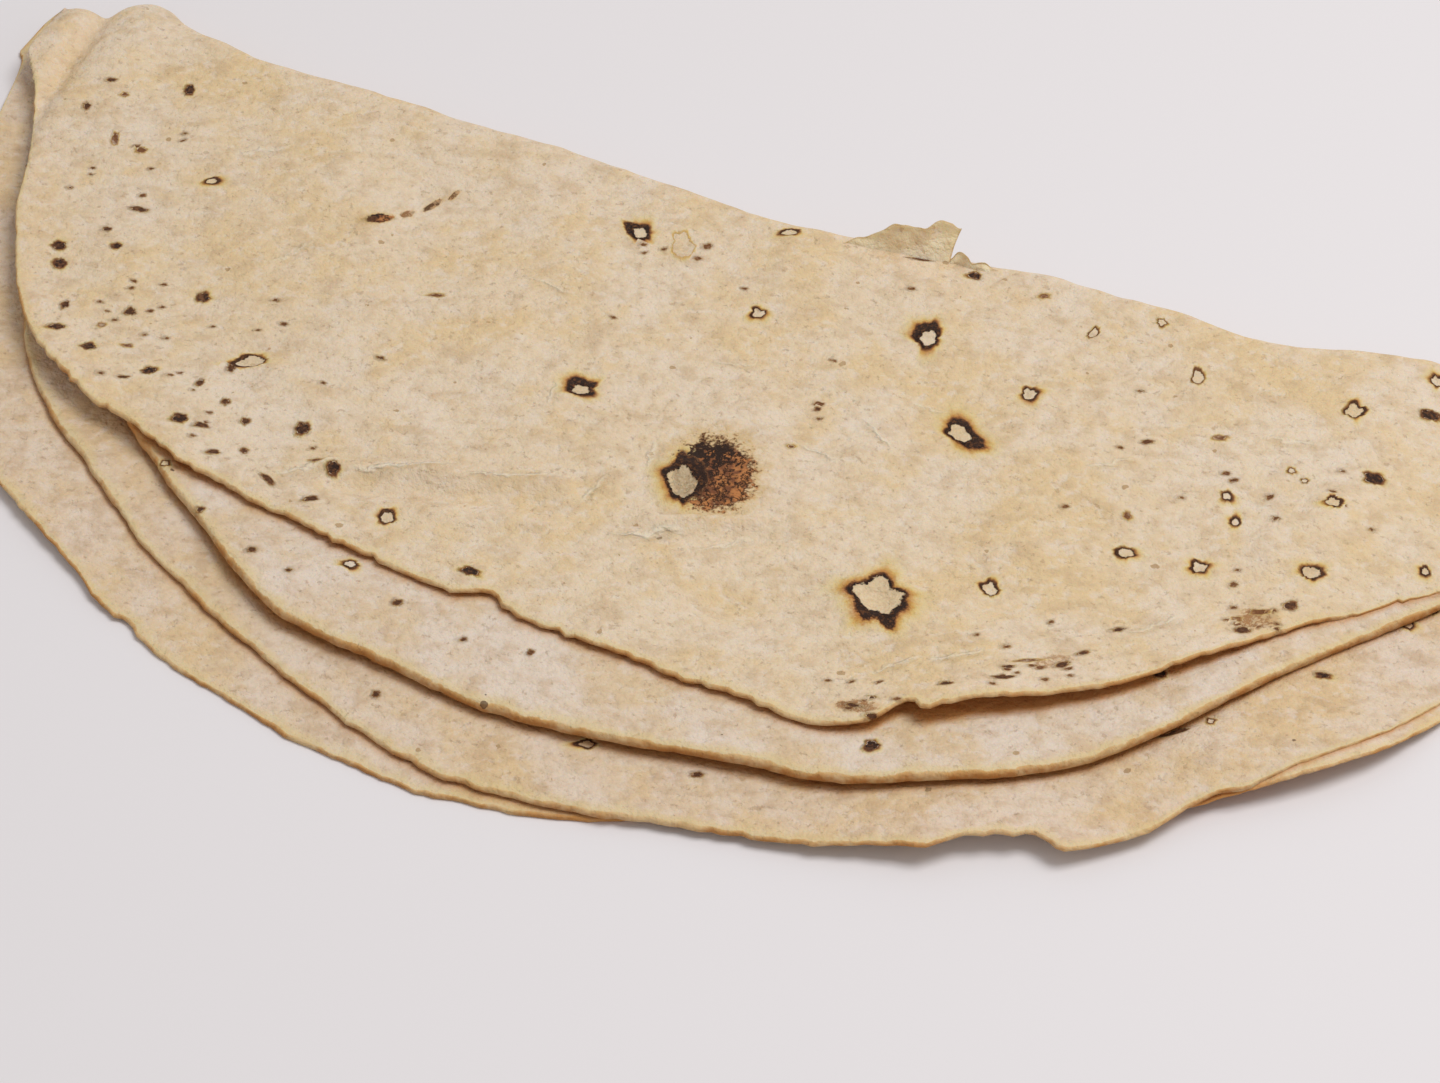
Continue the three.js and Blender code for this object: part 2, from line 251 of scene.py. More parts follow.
# kind, x, y, half width, half depth, turn and, for some, the side charred most and the number
# that its shape comes from
topMarks = [
    ("burst", 8, -5.6, 2.5, 4.1, 0, 50, 0), ("star", 44.6, -17.9, 3.8, 4.4, 10, 250, 0.1),
    ("burst", 42.4, 22, 1.5, 2.8, 32, 330), ("burst", 29.8, 41.2, 1.5, 2, -20, 110),
    ("burst", -22.6, 48.2, 1.2, 1.8, 20, 100), ("ghost", -15, 48, 2, 3.6, 10),
    ("burst", -15.2, 8.4, 1.5, 1.3, 0, 90), ("ring", -29.5, -30.2, 1.4, 1.6, 0),
    ("spot", -50.6, -16.6, 1.1, 1.5, 0), ("ring", -65.2, -5.3, 3, 1.7, 8),
    ("fleck", -67.5, -7.9, 0.7, 0.8, 0), ("fleck", -64, 34.4, 1.1, 0.7, 20),
    ("ring", -0.2, 57, 1.8, 1.2, 0), ("ring", 2.7, 37, 1.5, 1.7, 0), ("ring", 49, 34.8, 1.6, 1.9, 0),
    ("fineRing", 53.1, 53.1, 0.9, 1.9, -30), ("fineRing", 62.2, 59.3, 1, 1.2, 20),
    ("smudge", 42.8, 58.3, 0.9, 0.5, 0), ("spot", 30.8, 59.1, 1.1, 1, 0),
    ("fineRing", 71.7, 48.7, 1.3, 2.5, -8), ("ring", 96.6, 50.4, 1.8, 2.4, -20),
    ("ring", 106, 63.5, 1.2, 1.5, 0), ("spot", 107.3, 55.5, 1.4, 1.3, 0),
    ("spot", 103.7, 36.9, 1.7, 1.5, 10), ("ring", 100, 28.3, 1.4, 1.5, 10),
    ("ring", 84.7, 23.9, 0.8, 1.1, 0), ("ring", 87.7, 19, 0.9, 1.1, 0), ("ring", 85.9, 7.5, 1.6, 1.5, 0),
    ("ring", 74.8, 6.2, 1.4, 1.4, 20), ("smudge", 72.3, 13.7, 0.7, 0.8, 0),
    ("ring", 101.5, 13.1, 2.1, 1.6, 15), ("ring", 59, -9.3, 1.5, 2, 0), ("fleck", 100.7, 4.8, 1.2, 1, 15),
    ("fleck", 96.2, -3.7, 1.2, 0.9, 10), ("smudge", 97, 1.6, 1.5, 0.9, 0),
    ("smudge", 94.6, -1.4, 0.8, 0.6, 0), ("fineRing", 91.9, 33.2, 0.7, 0.9, 0),
    ("fineRing", 94.5, 31.6, 0.7, 0.8, 0), ("ring", 116.6, 21.6, 0.8, 1.3, 0),
    ("fleck", 50.3, -41.8, 1.3, 0.45, -18), ("fleck", 53.4, -43, 1.1, 0.5, -15),
    ("fleck", 52, -39.5, 0.7, 0.4, 0), ("fleck", 68.4, -28.7, 1.7, 0.6, 8),
    ("fleck", 68, -26, 1.1, 0.4, 8), ("smudge", 70, -23.4, 1.8, 0.4, 6),
    ("fleck", 74.8, -22.2, 1.1, 0.6, 20), ("fleck", 76.6, -18.4, 0.9, 0.4, 18),
    ("fleck", 79.7, -10.8, 1.1, 0.5, 8), ("fleck", 61.1, -33.6, 1, 0.4, 5),
    ("spot", -107.6, 54.2, 0.8, 1.5, 0), ("smudge", -112.1, 36.5, 0.7, 1.7, 0),
    ("smudge", -106.8, 35.8, 1.1, 0.9, -10), ("ring", -92.5, 33.1, 1.3, 0.9, 0),
    ("fleck", -99.9, 22.1, 1.4, 0.6, -8), ("spot", -107.1, 8.5, 1.2, 1.1, 0),
    ("spot", -104.9, 4.8, 1.1, 1.2, 0), ("fleck", -101.9, 15, 0.7, 0.6, 0),
    ("spot", -98.4, 11.9, 0.8, 0.8, 0), ("spot", -80.1, 6.5, 1.1, 1.3, -35),
    ("fleck", -88.6, -1.8, 1, 1.1, 25), ("spot", -97, -10.3, 1.2, 0.8, 8),
    ("fleck", -98.8, -4.5, 0.7, 1.1, 0), ("spot", -89.8, -12.9, 1.1, 0.9, -5),
    ("spot", -78.4, -14.1, 1.1, 1, 8), ("smudge", -84.6, -9.8, 1, 0.5, -10),
    ("smudge", -91, -6.6, 0.6, 0.5, 0), ("fleck", -81.4, -17.4, 0.8, 0.35, 0),
    ("fleck", -70, -13.4, 0.5, 0.9, -20), ("fleck", -64.3, -16, 0.6, 0.8, 0),
    ("spot", -68.6, -22.8, 1.3, 1.1, -8), ("fleck", -64.8, -22.7, 1.3, 0.6, -12),
    ("fleck", -59.5, -18.8, 0.7, 0.8, 0), ("fleck", -60.3, -27.4, 1, 0.5, 0),
    ("fleck", -56.4, -24.9, 0.6, 0.6, 0), ("fleck", -49.9, -29.6, 1.7, 0.5, -50),
    ("spot", -42.1, -23.2, 1, 1.3, 0), ("fleck", -41.9, -31, 1.2, 0.7, 12),
    ("smudge", -45.5, -22.5, 0.9, 0.5, -10), ("spot", -13, -36.3, 1.6, 1, -25),
    ("fleck", -120.6, 42.4, 0.6, 0.9, 0), ("fleck", -120.1, 50, 0.8, 0.45, 5),
    ("smudge", -116.4, 47.9, 0.7, 0.7, -30), ("fleck", 21.5, 59.3, 1.7, 0.35, -8),
    ("fleck", 20.2, 18.8, 0.4, 0.4, 0), ("fleck", 69.5, 31.2, 0.8, 0.45, 0),
    ("smudge", 79.4, 36.2, 1.1, 0.6, 0), ("smudge", 20, 8.5, 0.7, 0.6, 0),
    ("smudge", -46, 21, 1.3, 0.5, 0), ("fleck", -47, 3, 0.7, 0.35, -20),
]
# scorched patches lie under the marks: x, y, half width, half depth, turn and how black
scorchedPatches = [
    (11.6, -2, 6.6, 8.8, 0, 1), (-63, 35, 2.5, 1.2, 14, 1), (-59.5, 38.4, 1.5, 0.8, 40, 0.62),
    (-56.9, 42.4, 2.2, 0.7, 46, 0.75), (-54.8, 46, 1.5, 0.5, 60, 0.7), (97.5, 0, 3.2, 2.6, 10, 0.5),
    (50.8, -41.8, 3.2, 1.4, -12, 0.5), (73.5, -22, 3, 1.6, 20, 0.35), (-15.2, 46, 2.6, 3, 0, 0.12),
    (-104.5, 35.5, 3.4, 1.4, 0, 0.1),
]
secondMarks = [
    ("fleck", -74.4, -28.4, 0.6, 0.3, 0), ("fineRing", -66.7, -31.4, 0.8, 1, 0),
    ("fleck", -56.7, -38.9, 0.6, 0.7, -30), ("ring", -30.6, -40.8, 1.3, 1, 5),
    ("fleck", -20.4, -45.6, 0.7, 0.7, 0), ("spot", 55, -46.5, 1.2, 1.1, 10),
    ("spot", 87.5, -15.9, 1.1, 1.4, 0), ("spot", 78.4, -22.6, 1.2, 0.8, 15),
    ("fleck", -45.2, -44.1, 0.6, 0.6, 0), ("fleck", -8, -49, 0.4, 0.4, 0),
    ("fleck", 2, -47.5, 0.4, 0.5, 0), ("fleck", -38, -46, 0.4, 0.3, 0),
]
thirdMarks = [
    ("ring", 16.3, -59.4, 1.4, 1.1, 0), ("fleck", 33.3, -59, 0.7, 0.5, 0),
    ("fleck", 93.4, -25.1, 2.6, 0.4, 18), ("fineRing", 97.4, -21.3, 0.7, 0.7, 0),
    ("spot", 109.1, -4.5, 0.9, 0.7, 0), ("ring", 117.2, 11.6, 1, 1.1, 0),
    ("fineRing", 119.7, 16.2, 0.9, 1.2, 0), ("fleck", -16, -62, 0.5, 0.6, -30),
]


# loose specks scattered round these places: x, y, spread and how many
speckClusters = [
    (87, 28, 11, 14), (97, -2, 4, 12), (69, -22, 5, 12), (52, -40, 4, 8), (-62, -20, 12, 12),
    (-84, 0, 13, 14), (-108, 36, 8, 8), (20, 30, 16, 6), (-18, 44, 4, 5),
]


def scatterSpecks():
    rng = np.random.default_rng(17)
    specks = []
    for x, y, spread, count in speckClusters:
        for dx, dy, width, turn in rng.normal(0, 1, (count, 4)):
            place = (x + spread * dx, y + 0.7 * spread * dy)
            if place[1] > foldLine(place[0]) - 3:
                continue
            size = 0.26 + 0.1 * abs(width)
            specks.append(("speck", *place, 1.5 * size, size, 20 * turn))
    return specks


topMarks += scatterSpecks()


def ownPlace(dx, dy, turn, halfWidth, halfDepth):
    # places across and along a mark, where 1 is its edge
    heading = np.radians(viewTurn + turn)
    across = (dx * np.cos(heading) + dy * np.sin(heading)) / halfWidth
    along = (dy * np.cos(heading) - dx * np.sin(heading)) / halfDepth
    return across, along


def nearestMark(marks, x, y):
    best = np.full(x.shape, 1e9)
    number = np.zeros(x.shape, int)
    for order, (_, markX, markY, halfWidth, halfDepth, turn, *_) in enumerate(marks):
        across, along = ownPlace(x - markX, y - markY, turn, halfWidth, halfDepth)
        gap = (np.hypot(across, along) - 1) * math.sqrt(halfWidth * halfDepth)
        nearer = gap < best
        best = np.where(nearer, gap, best)
        number = np.where(nearer, order, number)
    return number


def markRelief(marks, x, y):
    # a burst blister stands up round its edge and is hollow inside
    total = 0 * x
    for kind, markX, markY, halfWidth, halfDepth, turn, *_ in marks:
        size = math.sqrt(halfWidth * halfDepth)
        if size < 1.2:
            continue
        way = np.hypot(*ownPlace(x - markX, y - markY, turn, halfWidth, halfDepth))
        solid = markKinds[kind][0]
        edge = 0.16 * size * np.exp(-((way - 1.05) / 0.35) ** 2)
        hollow = (0.1 * solid - 0.16 * (1 - solid)) * size * np.exp(-(way / 0.75) ** 4)
        total = total + np.clip(edge, 0, 0.75) + np.clip(hollow, -0.6, 0.4)
    return total


# the skins as closed slabs, bent round the fold

farAway = 9.0   # the place within a mark or crease that a face without one keeps
covered = 50.0  # millimetres past the covering skin's rim, where there is no such rim near
rimSteps = np.array([0, 0.1, 0.28, 0.55, 0.95, 1.5, 2.2, 3, 4, 5.2])


def frontRows(reach, flatRows):
    near = reach[:, None] - rimSteps * np.minimum(1, reach[:, None] / 14)
    share = np.linspace(1, 0, flatRows + 1)[1:-1]
    return np.concatenate([near, near[:, -1:] * share], axis=1)


def makeSkin(name, ends, upper, lower, layers, columns, upperRows, bendRows, lowerRows, upperMarks):
    angle, x = skinLine(*ends, columns)
    across = x[:, None]
    back = foldLine(across)
    reach = {half: rimReach(rims[half], angle, x) for half in (upper, lower)}
    front = {upper: frontRows(reach[upper], upperRows), lower: frontRows(reach[lower], lowerRows)[:, ::-1]}
    ends = np.minimum(x - x[0], x[-1] - x)[:, None]
    halves = {}
    for half, layer in zip((upper, lower), layers):
        y = back - front[half]
        way = np.minimum(reach[half][:, None] - front[half], ends)
        halves[half] = (y, curled(layer, across, y, way, rims[half]["curl"]), way)
    yUp, zUp, wayUp = halves[upper]
    yDown, zDown, wayDown = halves[lower]
    if upperMarks:
        zUp = zUp + markRelief(upperMarks, across + 0 * yUp, yUp)
    turn = np.linspace(0, math.pi, bendRows + 1)
    slanted = np.concatenate([np.ones(yUp.shape[1]), 0.5 + 0.5 * np.cos(turn), np.zeros(yDown.shape[1])])
    slant = form["endSlant"] * np.exp(-(across - x[0]) / 4) * slanted
    top, bottom = stack(layers[0], across, back), stack(layers[1], across, back)
    radius = (top - bottom) / 2
    yBend = back + radius * np.sin(turn)
    zBend = (top + bottom) / 2 + radius * np.cos(turn)
    y = np.concatenate([yUp, yBend, yDown], axis=1)
    z = np.concatenate([zUp, zBend, zDown], axis=1)
    way = np.concatenate([wayUp, ends + 0 * yBend, wayDown], axis=1)
    middle = np.stack([across + slant, y, z], axis=2)
    normal = np.cross(np.gradient(middle, axis=0), np.gradient(middle, axis=1))
    normal /= np.linalg.norm(normal, axis=2, keepdims=True)
    taper = 0.5 + 0.5 * np.sqrt(1 - (1 - np.clip(way / 0.4, 0, 1)) ** 2)
    half = (form["skinThickness"] / 2 * taper)[:, :, None]
    rowOfBend = yUp.shape[1] + bendRows // 2
    # bareWay is how far a face lies past the rim of the skin above it; the rim shader paints shade near that
    # rim
    bareWay = np.full(way.shape, covered)
    for layer, columnsOf in ((layers[0], slice(0, yUp.shape[1])), (layers[1], slice(-yDown.shape[1], None))):
        if layer < 3:
            lineX, line = ((innerX, thirdReach), (innerX, secondReach), (fineX, topReach))[layer]
            bare = back - y[:, columnsOf] - np.interp(across, lineX, line)
            bareWay[:, columnsOf] = np.where(across < lineX[0] + 1, covered, bare)
    return buildSlab(name, middle + normal * half, middle - normal * half, way + slant, bareWay, rowOfBend)


def buildSlab(name, outside, inside, way, bareWay, rowOfBend):
    columns, rows = way.shape
    index = np.arange(columns * rows).reshape(columns, rows)
    quads = np.stack([index[:-1, :-1], index[1:, :-1], index[1:, 1:], index[:-1, 1:]], axis=2)
    upper = np.tile(np.arange(rows - 1) < rowOfBend, columns - 1)
    quads = quads.reshape(-1, 4)
    faces = [quads, quads[:, ::-1] + columns * rows]
    for line, flip in ((index[:, 0], False), (index[:, -1], True), (index[0], True), (index[-1], False)):
        strip = np.stack([line[:-1], line[:-1] + columns * rows, line[1:] + columns * rows, line[1:]], axis=1)
        faces.append(strip[:, ::-1] if flip else strip)
    counts = [len(part) for part in faces]
    faces = np.concatenate(faces)
    points = np.concatenate([outside.reshape(-1, 3), inside.reshape(-1, 3)])
    points = points + (0, moveBack, 0)
    mesh = bpy.data.meshes.new(name)
    mesh.from_pydata((points * millimetre).tolist(), [], faces.tolist())
    mesh.shade_smooth()
    rimWay = mesh.attributes.new("rimWay", "FLOAT", "POINT")
    rimWay.data.foreach_set("value", np.tile(way.ravel(), 2).astype(np.float32))
    bare = mesh.attributes.new("bareWay", "FLOAT", "POINT")
    bare.data.foreach_set("value", np.tile(bareWay.ravel(), 2).astype(np.float32))
    side = np.repeat([0, 1, 1, 1, 1, 1], counts)
    upper = np.concatenate([upper, upper, np.ones(sum(counts[2:]), bool)])
    piece = bpy.data.objects.new(name, mesh)
    bpy.context.scene.collection.objects.link(piece)
    print(name, len(points), "points", len(faces), "faces")
    return piece, points[faces], side, upper


def cornerPlaces(corners, table, third):
    # the corners' places within the mark that their face keeps, and one more number of that mark
    dx = corners[:, :, 0] - table[:, 0, None]
    dy = corners[:, :, 1] - moveBack - table[:, 1, None]
    across, along = ownPlace(dx, dy, table[:, 4, None], table[:, 2, None], table[:, 3, None])
    return np.stack([across, along, third[:, None] + 0 * across], axis=2)


def storeMarks(piece, corners, chosen):
    # chosen lists (marks, which faces carry them); every corner of a face keeps the places of one mark
    mesh = piece.data
    total = corners.shape[0]
    place = np.full((total, 4, 3), farAway)
    look = np.zeros((total, 4, 3))
    lean = np.ones((total, 4, 3))
    rng = np.random.default_rng(5)
    for marks, faces in chosen:
        seeds = rng.uniform(0, 50, len(marks))
        seeds = np.array([mark[7] if len(mark) > 7 else seed for mark, seed in zip(marks, seeds)])
        leans = rng.uniform(0, 360, len(marks))
        leans = np.radians([mark[6] if len(mark) > 6 else lean for mark, lean in zip(marks, leans)])
        looks = np.array([markKinds[mark[0]] for mark in marks])
        centre = corners[faces].mean(axis=1) - (0, moveBack, 0)
        number = nearestMark(marks, centre[:, 0], centre[:, 1])
        table = np.array([mark[1:6] for mark in marks], float)[number]
        hollows = np.array([ringHollow if mark[0] in ("ring", "fineRing") else 1 for mark in marks])
        table[:, 2:4] *= hollows[number][:, None]
        place[faces] = cornerPlaces(corners[faces], table, seeds[number])
        look[faces] = looks[number][:, None, :]
        sizes = np.array([math.sqrt(mark[3] * mark[4]) for mark in marks])
        lean[faces] = np.stack([np.cos(leans), np.sin(leans), sizes], axis=1)[number][:, None, :]
    for name, values in (("markPlace", place), ("markLook", look), ("markLean", lean)):
        layer = mesh.attributes.new(name, "FLOAT_VECTOR", "CORNER")
        layer.data.foreach_set("vector", values.astype(np.float32).ravel())


def storePlaces(piece, name, items, corners, faces):
    # every corner of a face keeps its place within the nearest item of the list
    place = np.full((corners.shape[0], 4, 3), farAway)
    items = np.array(items)
    centre = corners[faces].mean(axis=1) - (0, moveBack, 0)
    offX, offY = centre[:, :1] - items[:, 0], centre[:, 1:2] - items[:, 1]
    along, aside = ownPlace(offX, offY, items[:, 4], 1, 1)
    along = np.maximum(0, np.abs(along) - items[:, 2])
    aside = np.maximum(0, np.abs(aside) - items[:, 3])
    table = items[np.hypot(along, aside).argmin(axis=1)]
    place[faces] = cornerPlaces(corners[faces], table, table[:, 5])
    layer = piece.data.attributes.new(name, "FLOAT_VECTOR", "CORNER")
    layer.data.foreach_set("vector", place.astype(np.float32).ravel())


# the numbers are columns along the fold, and rows of the upper half, the bend and the lower half
outerSkin, outerCorners, outerSide, outerUpperFaces = makeSkin(
    "outerSkin", (-halfLength, halfLength), "outerUpper", "outerLower", (3, 0), 300, 88, 10, 34, topMarks)
topFaces = (outerSide == 0) & outerUpperFaces
storeMarks(outerSkin, outerCorners, [(topMarks, topFaces)])
storePlaces(outerSkin, "patchPlace", scorchedPatches, outerCorners, topFaces)
storePlaces(outerSkin, "creasePlace", fineCreases, outerCorners, topFaces)
innerSkin, innerCorners, innerSide, innerUpperFaces = makeSkin(
    "innerSkin", form["innerEnds"], "innerUpper", "innerLower", (2, 1), 260, 40, 8, 40, None)
storeMarks(innerSkin, innerCorners, [
    (secondMarks, (innerSide == 0) & innerUpperFaces), (thirdMarks, (innerSide == 1) & ~innerUpperFaces)])
noFaces = innerSide < 0  # the inner skin has no patches or fine creases
storePlaces(innerSkin, "patchPlace", scorchedPatches, innerCorners, noFaces)
storePlaces(innerSkin, "creasePlace", fineCreases, innerCorners, noFaces)
print("skins made")


# the torn flake that stands on the fold, and the crumb beside it
# behind is how far the foot lies behind the fold

tallFlake = {"left": 8, "right": 26, "height": 7.6, "thickness": 0.45, "behind": -1.2, "seed": 41,
             "profile": [0.05, 0.22, 0.34, 0.6, 0.84, 0.88, 0.86, 1.05, 0.92]}
smallFlake = {"left": 26, "right": 33.5, "height": 3.2, "thickness": 0.4, "behind": -1.0, "seed": 47,
              "profile": [0.3, 0.8, 0.95, 0.85, 0.5, 0.6, 0.65, 0.35, 0.1]}


def makeFlake(name, flakeForm):
    across, up = np.meshgrid(np.linspace(0, 1, 61), np.linspace(0, 1, 17), indexing="ij")
    x = flakeForm["left"] + (flakeForm["right"] - flakeForm["left"]) * across
    base = foldLine(x) + flakeForm["behind"]
    ragged = 1 + 0.07 * unevenness(x, 0 * x, flakeForm["seed"], 5)
    ragged = ragged + 0.025 * unevenness(x, 0 * x, flakeForm["seed"] + 1, 1.6)
    tall = flakeForm["height"] * curveThrough(flakeForm["profile"], across * 8) * ragged
    root = stack(3, x, foldLine(x)) - 0.8
    wave = 0.5 * np.sin(across * 7 + 1) * up + 0.3 * unevenness(x, 6 * up, 43, 4) * up
    y = base + up * tall * (0.75 - 0.35 * up) + wave
    z = root + up * (tall + 0.8) * (0.95 - 0.12 * up)
    x = x + 0.9 * up ** 2 * (across > 0.9)
    middle = np.stack([x, y, z], axis=2)
    normal = np.cross(np.gradient(middle, axis=0), np.gradient(middle, axis=1))
    normal /= np.linalg.norm(normal, axis=2, keepdims=True)
    way = np.minimum((1 - up) * tall, np.minimum(across, 1 - across) * 16)
    half = flakeForm["thickness"] / 2 * (0.25 + 0.75 * np.clip(way / 0.7, 0, 1))[:, :, None]
    return buildSlab(name, middle + normal * half, middle - normal * half, way, 0 * way + covered, 17)[0]


tornFlakes = [makeFlake("tornFlake", tallFlake), makeFlake("tornCrumb", smallFlake)]
print("flakes made")


# shader helpers

def put(tree, socket, value):
    if isinstance(value, bpy.types.NodeSocket):
        tree.links.new(value, socket)
    else:
        socket.default_value = value


def add(tree, kind, inputs=None, **settings):
    made = tree.nodes.new(kind)
    for key, value in settings.items():
        setattr(made, key, value)
    for key, value in (inputs or {}).items():
        put(tree, made.inputs[key], value)
    return made


def maths(tree, operation, first, second=0.0, third=None):
    inputs = {0: first, 1: second}
    if third is not None:
        inputs[2] = third
    return add(tree, "ShaderNodeMath", inputs, operation=operation).outputs[0]


def fade(tree, value, low, high, toLow=0.0, toHigh=1.0):
    inputs = {"Value": value, "From Min": low, "From Max": high, "To Min": toLow, "To Max": toHigh}
    return add(tree, "ShaderNodeMapRange", inputs, interpolation_type="SMOOTHSTEP").outputs[0]


def blendColor(tree, share, first, second, mode="MIX"):
    node = tree.nodes.new("ShaderNodeMix")
    node.data_type = "RGBA"
    node.blend_type = mode
    put(tree, node.inputs[0], share)
    put(tree, node.inputs[6], first)
    put(tree, node.inputs[7], second)
    return node.outputs[2]


def noise(tree, place, size, detail=3.0, roughness=0.5, output=0):
    inputs = {"Vector": place, "Scale": 1 / size, "Detail": detail, "Roughness": roughness}
    return add(tree, "ShaderNodeTexNoise", inputs).outputs[output]


def newGroup(name, inputs, outputs):
    tree = bpy.data.node_groups.new(name, "ShaderNodeTree")
    for label, kind, value in inputs:
        socket = tree.interface.new_socket(label, in_out="INPUT", socket_type=kind)
        if value is not None:
            socket.default_value = value
    for label, kind in outputs:
        tree.interface.new_socket(label, in_out="OUTPUT", socket_type=kind)
    return tree, tree.nodes.new("NodeGroupInput").outputs, tree.nodes.new("NodeGroupOutput").inputs


def useGroup(tree, group, **inputs):
    node = tree.nodes.new("ShaderNodeGroup")
    node.node_tree = group
    for key, value in inputs.items():
        put(tree, node.inputs[key], value)
    return node.outputs


# kinds of socket
color, number, vector = "NodeSocketColor", "NodeSocketFloat", "NodeSocketVector"

# the baked crust: cloudy cream, flour patches and tiny streaks; places are in millimetres

crustGroup, given, result = newGroup(
    "bakedCrust",
    [("Place", vector, None), ("Base", color, (0.6, 0.5, 0.3, 1)), ("Golden", color, (0.6, 0.4, 0.2, 1)),
     ("Flour", color, (0.7, 0.6, 0.5, 1)), ("Tan", color, (0.5, 0.34, 0.18, 1)), ("Floury", number, 0.5)],
    [("Color", color), ("Height", number)])
tree = crustGroup
stretch = {"Vector": given["Place"], "Rotation": (0, 0, -0.4), "Scale": (0.95, 1.06, 1)}
stretch = add(tree, "ShaderNodeMapping", stretch).outputs[0]
cloud = noise(tree, given["Place"], 38, 3)
flourCloud = noise(tree, given["Place"], 14, 5, 0.6)
gold = noise(tree, given["Place"], 6, 2, 0.5)
blotch = noise(tree, stretch, 4.6, 4, 0.6)
mottle = noise(tree, stretch, 2.1, 3, 0.6)
grain = noise(tree, given["Place"], 0.7, 2, 0.6)
pock = noise(tree, stretch, 1.2, 3, 0.55)
shade = blendColor(tree, fade(tree, cloud, 0.42, 0.62), given["Base"], given["Golden"])
shade = blendColor(tree, fade(tree, gold, 0.44, 0.66, 0, 0.8), shade, given["Golden"])
flourShare = maths(tree, "MULTIPLY", fade(tree, flourCloud, 0.42, 0.58), given["Floury"])
shade = blendColor(tree, flourShare, shade, given["Flour"])
shade = blendColor(tree, fade(tree, blotch, 0.48, 0.68, 0, 0.48), shade, given["Tan"])
shade = blendColor(tree, fade(tree, mottle, 0.48, 0.72, 0, 0.36), shade, given["Tan"])
shade = blendColor(tree, fade(tree, mottle, 0.3, 0.5, 0.6, 0), shade, given["Flour"])
shade = blendColor(tree, fade(tree, pock, 0.63, 0.71, 0, 0.4), shade, (0.4, 0.25, 0.14, 1))
shade = blendColor(tree, fade(tree, grain, 0.4, 0.7, 0, 0.08), shade, given["Tan"])
put(tree, result["Color"], shade)
height = maths(tree, "MULTIPLY", mottle, 0.8)
height = maths(tree, "MULTIPLY_ADD", grain, 0.22, height)
height = maths(tree, "MULTIPLY_ADD", blotch, 0.9, height)
height = maths(tree, "MULTIPLY_ADD", fade(tree, pock, 0.6, 0.7), -0.1, height)
put(tree, result["Height"], height)

# scorched blisters, from the places stored on the mesh

scorchGroup, given, result = newGroup(
    "scorchMarks", [("Color", color, (0.6, 0.5, 0.3, 1)), ("Place", vector, None)],
    [("Color", color), ("Height", number)])
tree = scorchGroup
stored = add(tree, "ShaderNodeAttribute", attribute_name="markPlace")
look = add(tree, "ShaderNodeAttribute", attribute_name="markLook")
lean = add(tree, "ShaderNodeAttribute", attribute_name="markLean")
parts = add(tree, "ShaderNodeSeparateXYZ", {0: stored.outputs["Vector"]}).outputs
kinds = add(tree, "ShaderNodeSeparateXYZ", {0: look.outputs["Vector"]}).outputs
flat = add(tree, "ShaderNodeCombineXYZ", {0: parts[0], 1: parts[1]}).outputs[0]
way = add(tree, "ShaderNodeVectorMath", {0: flat}, operation="LENGTH").outputs["Value"]
heading = add(tree, "ShaderNodeVectorMath", {0: flat}, operation="NORMALIZE").outputs[0]
own = add(tree, "ShaderNodeCombineXYZ", {2: parts[2]}).outputs[0]
around = add(tree, "ShaderNodeVectorMath", {0: heading, 1: own}, operation="ADD").outputs[0]
bend = add(tree, "ShaderNodeSeparateColor", {0: noise(tree, around, 1.2, 2, 0.5, "Color")}).outputs
crumble = noise(tree, given["Place"], 0.6, 4, 0.65)
bigCrumble = noise(tree, given["Place"], 1.6, 3, 0.6)
leanParts = add(tree, "ShaderNodeSeparateXYZ", {0: lean.outputs["Vector"]}).outputs
leanFlat = add(tree, "ShaderNodeCombineXYZ", {0: leanParts[0], 1: leanParts[1]}).outputs[0]
leaning = add(tree, "ShaderNodeVectorMath", {0: heading, 1: leanFlat}, operation="DOT_PRODUCT")
leaning = leaning.outputs["Value"]
solid, thickness, glow = kinds[0], kinds[1], kinds[2]
black = maths(tree, "MINIMUM", thickness, 1.0)

# a four or five cornered outline, with dented sides
turnShare = maths(tree, "MULTIPLY", maths(tree, "ARCTAN2", parts[1], parts[0]), 1 / (2 * math.pi))
fiveSided = maths(tree, "GREATER_THAN", maths(tree, "FRACT", maths(tree, "MULTIPLY", parts[2], 7.13)), 0.55)
corners = maths(tree, "ADD", 4.0, fiveSided)
sweep = maths(tree, "FRACT", maths(tree, "MULTIPLY_ADD", turnShare, corners, parts[2]))
corner = maths(tree, "MULTIPLY", maths(tree, "ABSOLUTE", maths(tree, "SUBTRACT", sweep, 0.5)), 2.0)
pointed = fade(tree, solid, 0.0, 1.0, 0.13, 0.05)
radius = maths(tree, "MULTIPLY_ADD", maths(tree, "POWER", corner, 1.7), pointed, 0.8)
radius = maths(tree, "MULTIPLY_ADD", maths(tree, "SUBTRACT", bend[0], 0.5), 1.1, radius)
radius = maths(tree, "MULTIPLY_ADD", maths(tree, "SUBTRACT", crumble, 0.5), 0.4, radius)
ratio = maths(tree, "DIVIDE", way, radius)
out = maths(tree, "MULTIPLY", maths(tree, "SUBTRACT", ratio, 1.0), leanParts[2])

